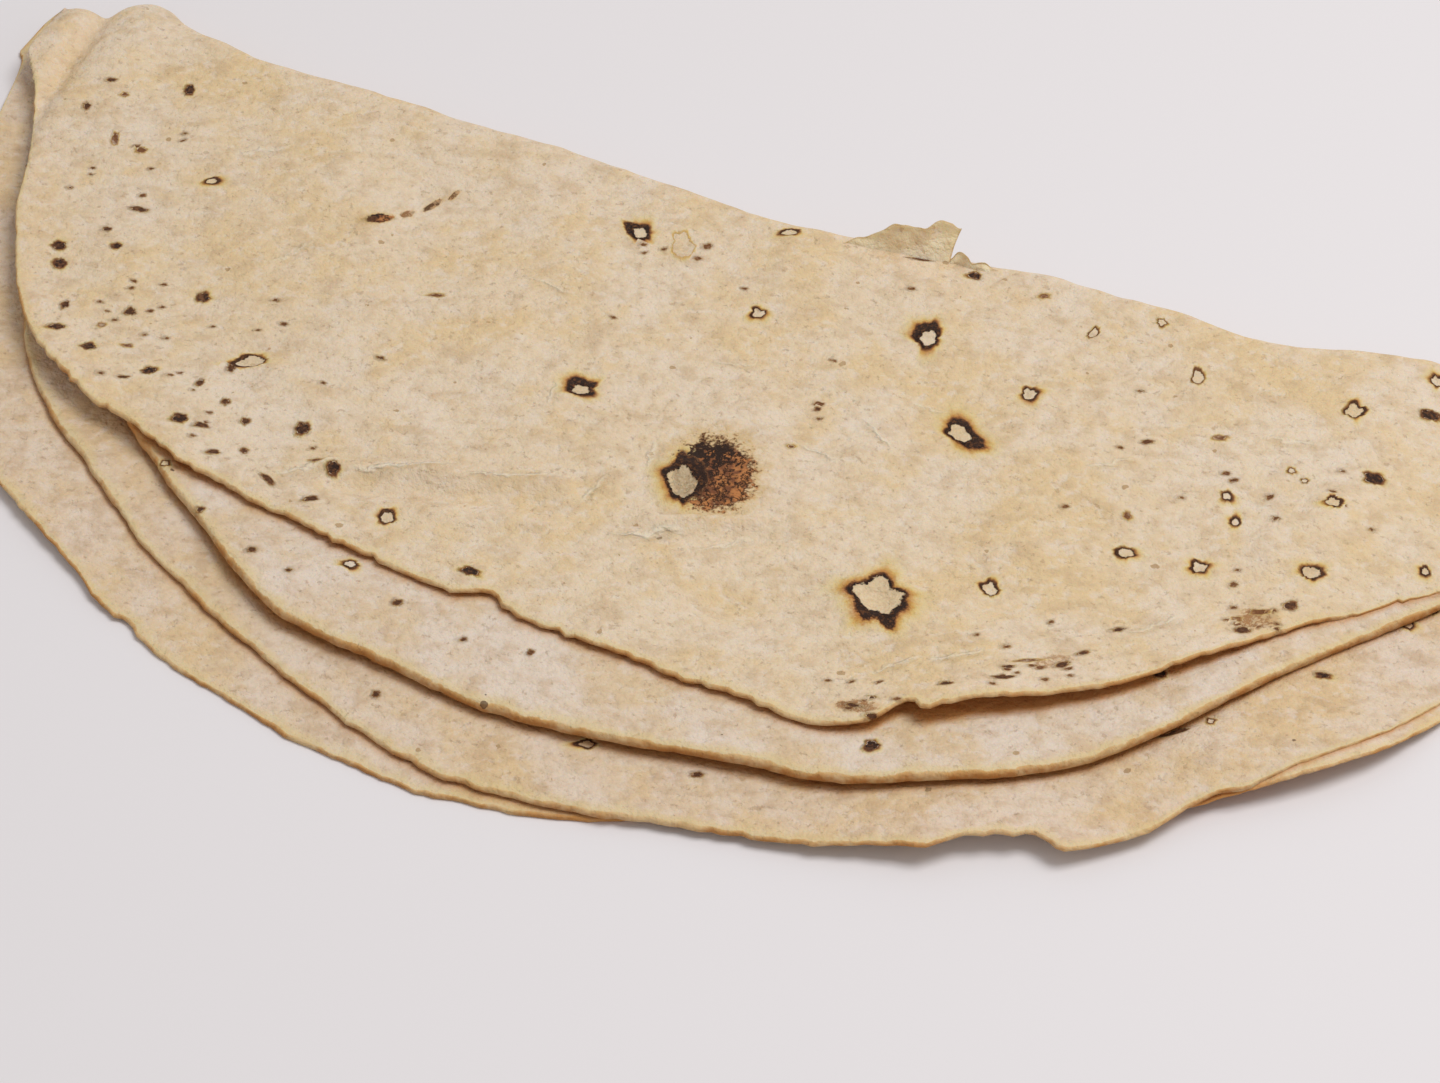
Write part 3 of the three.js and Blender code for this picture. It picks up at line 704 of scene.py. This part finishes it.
# the charred band in millimetres, wider on the side it leans to
wide = maths(tree, "MULTIPLY", leanParts[2], fade(tree, leaning, -0.6, 1.0, 0.05, 0.34))
wide = maths(tree, "MULTIPLY", wide, fade(tree, bend[1], 0.35, 0.65, 0.5, 1.5))
wide = maths(tree, "MULTIPLY", maths(tree, "ADD", wide, 0.15), thickness)
wide = maths(tree, "MULTIPLY", wide, maths(tree, "SUBTRACT", 1.0, solid))
past = maths(tree, "SUBTRACT", out, wide)
past = maths(tree, "MULTIPLY_ADD", maths(tree, "SUBTRACT", crumble, 0.5), 0.9, past)
past = maths(tree, "MULTIPLY_ADD", maths(tree, "SUBTRACT", bigCrumble, 0.5), 0.9, past)
outside = fade(tree, out, -0.12, 0.02)
band = maths(tree, "MULTIPLY", outside, fade(tree, past, -0.2, 0.2, 1, 0))
spotShare = fade(tree, bigCrumble, 0.36, 0.56, 0.55, 1.0)
spot = maths(tree, "MULTIPLY", fade(tree, past, -0.2, 0.08, 1, 0), spotShare)
burnt = add(tree, "ShaderNodeMix", {0: solid, 2: band, 3: spot}, data_type="FLOAT").outputs[0]
burnt = maths(tree, "MULTIPLY", burnt, fade(tree, black, 0.0, 0.8, 0.1, 1.0))

# scorched patches: toasted brown with a fine black net
patch = add(tree, "ShaderNodeAttribute", attribute_name="patchPlace").outputs["Vector"]
patchParts = add(tree, "ShaderNodeSeparateXYZ", {0: patch}).outputs
patchFlat = add(tree, "ShaderNodeCombineXYZ", {0: patchParts[0], 1: patchParts[1]}).outputs[0]
patchWay = add(tree, "ShaderNodeVectorMath", {0: patchFlat}, operation="LENGTH").outputs["Value"]
patchWay = maths(tree, "MULTIPLY_ADD", maths(tree, "SUBTRACT", bigCrumble, 0.5), 0.9, patchWay)
patchWay = maths(tree, "MULTIPLY_ADD", maths(tree, "SUBTRACT", crumble, 0.5), 0.8, patchWay)
upper = maths(tree, "MULTIPLY_ADD", patchParts[1], 0.12, maths(tree, "MULTIPLY", patchParts[0], -0.1))
upper = maths(tree, "MAXIMUM", maths(tree, "MULTIPLY", upper, patchParts[2]), -0.015)
netNoise = maths(tree, "ABSOLUTE", maths(tree, "SUBTRACT", noise(tree, given["Place"], 1.5, 4, 0.7), 0.5))
net = fade(tree, maths(tree, "SUBTRACT", netNoise, upper), 0.02, 0.065, 1, 0)
netShare = fade(tree, patchParts[2], 0.0, 0.6)
net = maths(tree, "MULTIPLY", maths(tree, "MULTIPLY", net, netShare), fade(tree, patchWay, 0.75, 1.05, 1, 0))
baked = blendColor(tree, fade(tree, bigCrumble, 0.36, 0.6), (0.5, 0.19, 0.06, 1), (0.17, 0.052, 0.022, 1))
patchGlow = fade(tree, patchWay, 0.85, 1.55, 0.65, 0)
deep = maths(tree, "MINIMUM", patchParts[2], 1.0)
shade = blendColor(tree, maths(tree, "MULTIPLY", patchGlow, deep), given["Color"], (0.66, 0.42, 0.14, 1))
bakedShare = fade(tree, patchWay, 0.8, 1.05, 0.95, 0)
bakedShare = maths(tree, "MULTIPLY", bakedShare, maths(tree, "POWER", deep, 2.0))
shade = blendColor(tree, bakedShare, shade, baked)
blackShare = fade(tree, patchParts[2], 0.5, 0.9)
netShade = blendColor(tree, blackShare, (0.4, 0.2, 0.08, 1), (0.035, 0.018, 0.012, 1))
shade = blendColor(tree, net, shade, netShade)

# round each mark brown, orange and yellow, each further out
uneven = fade(tree, bend[2], 0.35, 0.65, 0.45, 1.35)
uneven = maths(tree, "MULTIPLY", uneven, maths(tree, "SUBTRACT", 1.0, bakedShare))
reach = fade(tree, leanParts[2], 0.5, 4.5, 0.9, 2.0)
reach = maths(tree, "MULTIPLY", maths(tree, "MULTIPLY", glow, uneven), reach)
steps = maths(tree, "DIVIDE", past, maths(tree, "ADD", reach, 0.02))
yellow = maths(tree, "MULTIPLY", fade(tree, steps, 0.4, 2.0, 0.95, 0), outside)
yellow = maths(tree, "MULTIPLY", yellow, fade(tree, bigCrumble, 0.3, 0.7, 0.6, 1.2))
orange = maths(tree, "MULTIPLY", fade(tree, steps, 0.0, 0.75, 0.85, 0), outside)
brown = maths(tree, "MULTIPLY", fade(tree, past, -0.05, 0.65, 0.95, 0), outside)
hollow = maths(tree, "MULTIPLY", fade(tree, out, -0.12, -0.02, 1, 0), maths(tree, "SUBTRACT", 1.0, solid))
yellowShade = blendColor(tree, fade(tree, steps, 0.3, 1.2), (0.7, 0.45, 0.14, 1), (0.77, 0.59, 0.29, 1))
shade = blendColor(tree, yellow, shade, yellowShade)
orange = maths(tree, "MULTIPLY", orange, fade(tree, black, 0.0, 1.0, 0.15, 1.0))
shade = blendColor(tree, orange, shade, (0.46, 0.165, 0.035, 1))
shade = blendColor(tree, maths(tree, "MULTIPLY", brown, black), shade, (0.15, 0.055, 0.025, 1))
floorShade = blendColor(tree, fade(tree, crumble, 0.35, 0.65), (0.8, 0.62, 0.4, 1), (0.68, 0.49, 0.29, 1))
hollowShare = fade(tree, leanParts[2], 1.2, 3.0, 0.2, 1.0)
hollowShare = maths(tree, "MULTIPLY", fade(tree, black, 0.0, 0.4, 0.2, 0.75), hollowShare)
shade = blendColor(tree, maths(tree, "MULTIPLY", hollow, hollowShare), shade, floorShade)
charShade = blendColor(tree, fade(tree, burnt, 0.4, 0.9), (0.13, 0.05, 0.022, 1), (0.04, 0.02, 0.014, 1))
charShade = blendColor(tree, fade(tree, crumble, 0.48, 0.66, 0, 0.8), charShade, (0.2, 0.08, 0.03, 1))
charShade = blendColor(tree, fade(tree, black, 0.5, 1.0, 0.6, 0), charShade, (0.27, 0.11, 0.04, 1))
shade = blendColor(tree, fade(tree, burnt, 0.05, 0.6), shade, charShade)
put(tree, result["Color"], shade)
edge = maths(tree, "MULTIPLY", fade(tree, out, -0.25, 0.1), fade(tree, out, 0.1, 0.9, 1, 0))
relief = maths(tree, "MULTIPLY", maths(tree, "SUBTRACT", edge, maths(tree, "MULTIPLY", hollow, 0.35)), black)
relief = maths(tree, "MULTIPLY", relief, 0.5)
relief = maths(tree, "MULTIPLY_ADD", maths(tree, "MULTIPLY", burnt, crumble), 0.5, relief)
netRelief = maths(tree, "MULTIPLY", net, maths(tree, "MULTIPLY", deep, deep))
put(tree, result["Height"], maths(tree, "MULTIPLY_ADD", netRelief, 0.25, relief))

# toasted rims: a pale lip and a golden brown band where the rim turns down,
# then painted warm shade on the strip just past the rim of the skin above

rimGroup, given, result = newGroup(
    "toastedRim",
    [("Color", color, (0.6, 0.5, 0.3, 1)), ("Place", vector, None), ("Toast", number, 0.7),
     ("Band", number, 1.5)],
    [("Color", color)])
tree = rimGroup
rimWay = add(tree, "ShaderNodeAttribute", attribute_name="rimWay").outputs["Fac"]
uneven = noise(tree, given["Place"], 5, 4, 0.6)
fine = noise(tree, given["Place"], 1.1, 3, 0.6)
bandWidth = maths(tree, "MULTIPLY", given["Band"], fade(tree, uneven, 0.3, 0.7, 0.55, 1.35))
share = maths(tree, "DIVIDE", rimWay, bandWidth)
share = maths(tree, "MULTIPLY_ADD", maths(tree, "SUBTRACT", fine, 0.5), 0.5, share)
glow = maths(tree, "MULTIPLY", given["Toast"], 0.75)
glow = maths(tree, "MULTIPLY", fade(tree, share, 1.0, 5.5, 1, 0), glow)
shade = blendColor(tree, glow, given["Color"], (0.76, 0.58, 0.3, 1))
patchy = fade(tree, noise(tree, given["Place"], 9, 4, 0.7), 0.36, 0.6, 0.35, 1.0)
toast = maths(tree, "MULTIPLY", given["Toast"], patchy)
toast = maths(tree, "MULTIPLY", fade(tree, share, 0.75, 1.1, 1, 0), toast)
golden = blendColor(tree, fade(tree, share, 0.05, 0.9), (0.42, 0.17, 0.04, 1), (0.64, 0.36, 0.13, 1))
shade = blendColor(tree, toast, shade, golden)
# painted shade: browner and darker from just under the rim of the skin above to about 2 mm past it, standing
# in for the shade in the gap beneath that rim
bareWay = add(tree, "ShaderNodeAttribute", attribute_name="bareWay").outputs["Fac"]
paintedRimShade = maths(tree, "MULTIPLY_ADD", maths(tree, "SUBTRACT", fine, 0.5), 0.8, bareWay)
paintedRimShade = fade(tree, paintedRimShade, -0.9, 2.0, 0.95, 0)
shade = blendColor(tree, paintedRimShade, shade, (0.6, 0.27, 0.08, 1))
put(tree, result["Color"], shade)

# tiny scorched flecks

fleckGroup, given, result = newGroup(
    "scorchFlecks", [("Color", color, (0.6, 0.5, 0.3, 1)), ("Place", vector, None), ("Amount", number, 0.2)],
    [("Color", color)])
tree = fleckGroup
wobble = noise(tree, given["Place"], 1.2, 2, 0.5, "Color")
wobble = add(tree, "ShaderNodeVectorMath", {0: wobble, 1: (1.1, 1.1, 1.1)}, operation="MULTIPLY").outputs[0]
moved = add(tree, "ShaderNodeVectorMath", {0: given["Place"], 1: wobble}, operation="ADD").outputs[0]
cells = add(tree, "ShaderNodeTexVoronoi", {"Vector": moved, "Scale": 1 / 5.0}, voronoi_dimensions="3D")
chance = add(tree, "ShaderNodeSeparateColor", {0: cells.outputs["Color"]}).outputs
size = maths(tree, "MULTIPLY", chance[1], 0.1)
inFleck = maths(tree, "LESS_THAN", cells.outputs["Distance"], maths(tree, "ADD", size, 0.02))
present = maths(tree, "LESS_THAN", chance[0], given["Amount"])
fleck = maths(tree, "MULTIPLY", maths(tree, "MULTIPLY", inFleck, present), 0.8)
fleckShade = blendColor(tree, fade(tree, chance[2], 0.45, 1.0), (0.46, 0.29, 0.14, 1), (0.1, 0.05, 0.025, 1))
put(tree, result["Color"], blendColor(tree, fleck, given["Color"], fleckShade))

# fine creases, from the places stored on the mesh: a bump, with a painted highlight along each ridge and
# painted shade in a furrow beside it

creaseGroup, given, result = newGroup(
    "fineCreases", [("Color", color, (0.6, 0.5, 0.3, 1)), ("Place", vector, None)],
    [("Color", color), ("Height", number)])
tree = creaseGroup
stored = add(tree, "ShaderNodeAttribute", attribute_name="creasePlace").outputs["Vector"]
parts = add(tree, "ShaderNodeSeparateXYZ", {0: stored}).outputs
wander = maths(tree, "SUBTRACT", noise(tree, given["Place"], 5, 3, 0.6), 0.5)
aside = maths(tree, "MULTIPLY_ADD", wander, 7.0, parts[1])
length = maths(tree, "MULTIPLY", fade(tree, maths(tree, "ABSOLUTE", parts[0]), 0.4, 1.0, 1, 0), parts[2])
ridge = fade(tree, maths(tree, "ABSOLUTE", aside), 0.0, 1.0, 1, 0)
furrow = fade(tree, maths(tree, "ABSOLUTE", maths(tree, "ADD", aside, 1.3)), 0.0, 1.5, 1, 0)
ridge = maths(tree, "MULTIPLY", ridge, length)
furrow = maths(tree, "MULTIPLY", furrow, length)
# painted shade darkens the furrow and a painted highlight lightens the ridge; the bump below shades them as
# well
shade = blendColor(tree, maths(tree, "MULTIPLY", furrow, 0.4), given["Color"], (0.52, 0.36, 0.17, 1))
shade = blendColor(tree, maths(tree, "MULTIPLY", ridge, 0.55), shade, (0.9, 0.79, 0.62, 1))
put(tree, result["Color"], shade)
put(tree, result["Height"], maths(tree, "MULTIPLY_ADD", furrow, -0.2, maths(tree, "MULTIPLY", ridge, 0.4)))
print("shader groups made")


# bread materials

finishes = {
    "outerCrust": {"base": (0.805, 0.622, 0.437), "golden": (0.795, 0.578, 0.335),
                   "flour": (0.84, 0.69, 0.56), "tan": (0.6, 0.42, 0.25),
                   "floury": 0.5, "toast": 0.9, "band": 0.36, "flecks": 0.3},
    "innerCrust": {"base": (0.77, 0.595, 0.44), "golden": (0.76, 0.56, 0.35), "flour": (0.825, 0.68, 0.57),
                   "tan": (0.58, 0.4, 0.24), "floury": 0.8, "toast": 0.95, "band": 0.55, "flecks": 0.22},
    "crumbSide": {"base": (0.77, 0.585, 0.42), "golden": (0.77, 0.55, 0.32), "flour": (0.82, 0.66, 0.54),
                  "tan": (0.54, 0.36, 0.21), "floury": 0.65, "toast": 0.9, "band": 0.5, "flecks": 0.14},
}
# the flake is paler than the crust; part of that is painted light, standing in for light shining through the
# thin torn flake
flakeFinish = {"base": (0.95, 0.82, 0.6), "golden": (0.93, 0.76, 0.48),
               "floury": 0.2, "toast": 0.4, "band": 0.25}
skinSurface = {"roughness": 0.86, "specular": 0.22, "soft": 0.15, "softReach": (0.0035, 0.0016, 0.0007),
               "relief": 1.0, "reliefShare": 0.8}


def breadMaterial(name, finish, marked):
    material = bpy.data.materials.new(name)
    material.use_nodes = True
    tree = material.node_tree
    shader = tree.nodes["Principled BSDF"]
    place = add(tree, "ShaderNodeTexCoord").outputs["Object"]
    place = add(tree, "ShaderNodeMapping", {"Vector": place, "Scale": (1000, 1000, 1000)}).outputs[0]
    colors = {key.capitalize(): (*finish[key], 1) for key in ("base", "golden", "flour", "tan")}
    crust = useGroup(tree, crustGroup, Place=place, Floury=finish["floury"], **colors)
    toasted = {"Toast": finish["toast"], "Band": finish["band"]}
    shade = useGroup(tree, rimGroup, Color=crust["Color"], Place=place, **toasted)["Color"]
    shade = useGroup(tree, fleckGroup, Color=shade, Place=place, Amount=finish["flecks"])["Color"]
    height = crust["Height"]
    if marked:
        crease = useGroup(tree, creaseGroup, Color=shade, Place=place)
        shade = crease["Color"]
        height = maths(tree, "ADD", crease["Height"], height)
        scorch = useGroup(tree, scorchGroup, Color=shade, Place=place)
        shade = scorch["Color"]
        height = maths(tree, "ADD", scorch["Height"], height)
    relief = skinSurface["relief"] * millimetre
    bump = {"Height": height, "Distance": relief, "Strength": skinSurface["reliefShare"]}
    bump = add(tree, "ShaderNodeBump", bump)
    put(tree, shader.inputs["Base Color"], shade)
    put(tree, shader.inputs["Normal"], bump.outputs[0])
    shader.inputs["Roughness"].default_value = skinSurface["roughness"]
    shader.inputs["Specular IOR Level"].default_value = skinSurface["specular"]
    shader.inputs["Subsurface Weight"].default_value = skinSurface["soft"]
    shader.inputs["Subsurface Radius"].default_value = skinSurface["softReach"]
    shader.inputs["Subsurface Scale"].default_value = 1
    return material


materials = {name: breadMaterial(name, finish, True) for name, finish in finishes.items()}
for piece, crustName, side in ((outerSkin, "outerCrust", outerSide), (innerSkin, "innerCrust", innerSide)):
    piece.data.materials.append(materials[crustName])
    piece.data.materials.append(materials["crumbSide"])
    piece.data.polygons.foreach_set("material_index", side.astype(np.int32))
    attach(piece, "root")
materials["flake"] = breadMaterial("flake", {**finishes["outerCrust"], **flakeFinish}, False)
for tornFlake in tornFlakes:
    tornFlake.data.materials.append(materials["flake"])
    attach(tornFlake, "root")
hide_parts("pita_bread")
print("bread finished")


# camera, table and light

cameraView = {"azimuth": 23.0, "elevation": 42.0, "distance": 0.7, "lens": 115.3, "sensor": 36,
              "aim": (0.0148, -0.0078, -0.003)}
tableLook = {"color": (0.835, 0.8, 0.812), "size": 6, "roughness": 0.6, "specular": 0.2}
lightLook = {"sky": 0.46, "skyColor": (1, 0.985, 0.975, 1),
             "energy": 6.7, "size": 0.6, "place": (0.42, 0.2, 1.0)}

camera = bpy.data.objects.new("camera", bpy.data.cameras.new("camera"))
bpy.context.scene.collection.objects.link(camera)
azimuth, elevation = math.radians(cameraView["azimuth"]), math.radians(cameraView["elevation"])
level = math.cos(elevation)
backward = Vector((math.sin(azimuth) * level, -math.cos(azimuth) * level, math.sin(elevation)))
camera.location = Vector(cameraView["aim"]) + backward * cameraView["distance"]
camera.rotation_mode = "QUATERNION"
camera.rotation_quaternion = (-backward).to_track_quat("-Z", "Y")
camera.data.lens = cameraView["lens"]
camera.data.sensor_width = cameraView["sensor"]
bpy.context.scene.camera = camera

bpy.ops.mesh.primitive_plane_add(size=tableLook["size"])
table = bpy.context.object
table.name = "table"
tableMaterial = bpy.data.materials.new("table")
tableMaterial.use_nodes = True
tableShader = tableMaterial.node_tree.nodes["Principled BSDF"]
tableShader.inputs["Base Color"].default_value = (*tableLook["color"], 1)
tableShader.inputs["Roughness"].default_value = tableLook["roughness"]
tableShader.inputs["Specular IOR Level"].default_value = tableLook["specular"]
table.data.materials.append(tableMaterial)

world = bpy.data.worlds.new("world")
bpy.context.scene.world = world
world.use_nodes = True
background = world.node_tree.nodes["Background"]
background.inputs["Color"].default_value = lightLook["skyColor"]
background.inputs["Strength"].default_value = lightLook["sky"]
softbox = bpy.data.objects.new("softbox", bpy.data.lights.new("softbox", "AREA"))
bpy.context.scene.collection.objects.link(softbox)
softbox.data.energy = lightLook["energy"]
softbox.data.size = lightLook["size"]
softbox.location = lightLook["place"]
softbox.rotation_mode = "QUATERNION"
softbox.rotation_quaternion = (-softbox.location).to_track_quat("-Z", "Y")
bpy.context.scene.view_settings.view_transform = "Standard"
print("stage ready")
